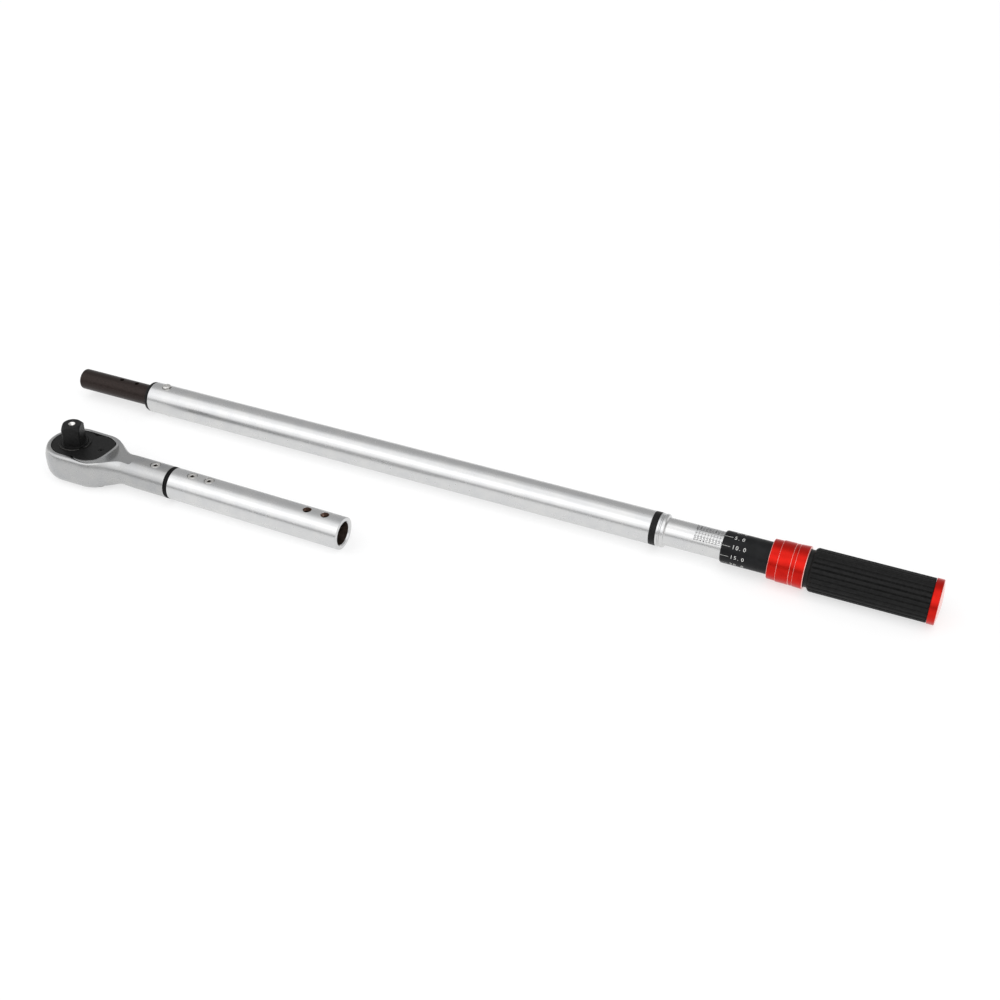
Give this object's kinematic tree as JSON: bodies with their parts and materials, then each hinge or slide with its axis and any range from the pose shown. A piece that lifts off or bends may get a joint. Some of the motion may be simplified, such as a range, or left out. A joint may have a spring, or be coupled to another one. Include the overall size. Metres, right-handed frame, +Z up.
{
  "type": "torque wrench",
  "caption": "Two-section click torque wrench with a 3/4 inch square ratchet head, an extension sleeve, a micrometer scale and a ribbed grip, laid out in its two sections.",
  "frame": {"origin": "centre of the bounding box at the surface the two sections lie on", "axes": "+X along the main section towards the grip, +Z up, the direction the square drive points"},
  "size_m": [0.9678, 0.187, 0.0584],
  "materials": {
    "satin_chrome": "satin chrome, brushed along the tube",
    "phosphated_steel": "dark brown phosphate over steel",
    "black_oxide": "black oxide, satin",
    "black_rubber": "moulded, matt",
    "black_anodised": "black anodised, satin, white numbers",
    "red_anodised": "red anodised, satin",
    "plain_steel": "ground steel",
    "spring_steel": "oiled spring steel"
  },
  "bodies": {
    "main_section": {"main_tube": "satin_chrome", "mouth_ring": "black_rubber", "pivot_pin": "plain_steel", "barrel_ring": "black_oxide", "scale_barrel": "satin_chrome", "screw_nut": "plain_steel", "main_spring": "spring_steel"},
    "lever": {"lever_bar": "phosphated_steel"},
    "tilt_block": {"tilt_block": "plain_steel"},
    "plunger": {"plunger": "plain_steel"},
    "spring_seat": {"spring_seat": "plain_steel", "thrust_bearing": "plain_steel"},
    "handle": {"adjusting_screw": "plain_steel", "thimble": "black_anodised", "handle_core": "black_oxide", "grip_sleeve": "black_rubber", "core_nut": "plain_steel", "end_cap": "red_anodised", "lock_ball_1": "plain_steel", "lock_ball_2": "plain_steel", "collar_spring": "spring_steel"},
    "collar": {"lock_collar": "red_anodised"},
    "head_section": {"ratchet_head": "satin_chrome", "cover_plate": "black_oxide", "cover_screw": "black_oxide", "connector_bar": "phosphated_steel", "spacer_ring": "black_rubber", "extension_sleeve": "satin_chrome", "neck_screw": "plain_steel", "sleeve_screw_1": "plain_steel", "sleeve_screw_2": "plain_steel"},
    "drive": {"drive_gear": "black_oxide", "retaining_ring": "black_oxide", "ball_spring": "spring_steel"},
    "detent_ball": {"detent_ball": "plain_steel"},
    "reverse_lever": {"reverse_lever": "black_oxide", "selector_ball": "plain_steel", "selector_spring": "spring_steel"},
    "pawl": {"pawl": "plain_steel"}
  },
  "joints": [
    {"name": "lever_click", "type": "hinge", "parent": "main_section", "child": "lever", "pos_m": [-0.3701, 0.07155, 0.0197], "axis": [-0.0027, 0, 1], "range_deg": [0, 2], "stiffness_Nm_per_rad": 200, "springref_deg": -2.86},
    {"name": "tilt_block_tip", "type": "hinge", "parent": "lever", "child": "tilt_block", "pos_m": [-0.2847, 0.07155, 0.01993], "axis": [-0.0027, 0, 1], "range_deg": [-16.02, 0]},
    {"name": "plunger_slide", "type": "slide", "parent": "main_section", "child": "plunger", "axis": [1, 0, 0.0027], "range_m": [0, 0.00122]},
    {"name": "seat_feed", "type": "slide", "parent": "main_section", "child": "spring_seat", "axis": [-1, 0, -0.0027], "range_m": [0, 0.02702], "deforming": ["main_spring"]},
    {"name": "handle_turn", "type": "hinge", "parent": "spring_seat", "child": "handle", "pos_m": [0.4839, 0.07155, 0.022], "axis": [-1, 0, -0.0027], "range_deg": [0, 3240]},
    {"name": "collar_unlock", "type": "slide", "parent": "handle", "child": "collar", "axis": [1, 0, 0.0027], "range_m": [0, 0.0035], "stiffness_N_per_m": 800, "springref_m": -0.004, "deforming": ["collar_spring"]},
    {"name": "head_carry", "type": "slide", "parent": "main_section", "child": "head_section", "axis": [-0.9707, 0.2402, 0.0042], "range_m": [0, 0.55629]},
    {"name": "drive_spin", "type": "hinge", "parent": "head_section", "child": "drive", "pos_m": [-0.392, -0.06205, 0.02044], "axis": [0.0117, 0, 0.9999], "continuous": true},
    {"name": "ball_press", "type": "slide", "parent": "drive", "child": "detent_ball", "axis": [0.3827, -0.9239, -0.0045], "range_m": [0, 0.001], "stiffness_N_per_m": 500, "springref_m": -0.002, "deforming": ["ball_spring"]},
    {"name": "reverse_turn", "type": "hinge", "parent": "head_section", "child": "reverse_lever", "pos_m": [-0.359, -0.06205, 0.02005], "axis": [-0.0117, 0, -0.9999], "range_deg": [-20, 20]},
    {"name": "pawl_rock", "type": "hinge", "parent": "head_section", "child": "pawl", "pos_m": [-0.359, -0.06205, 0.02005], "axis": [-0.0117, 0, -0.9999], "range_deg": [-6.52, 6.52]}
  ],
  "couplings": [
    {"joint": "tilt_block_tip", "follows": "lever_click", "ratio": -8},
    {"joint": "plunger_slide", "follows": "lever_click", "m_per_rad": 0.0344},
    {"joint": "seat_feed", "follows": "handle_turn", "m_per_rad": 0.00047746},
    {"joint": "pawl_rock", "follows": "reverse_turn", "ratio": 0.325}
  ]
}
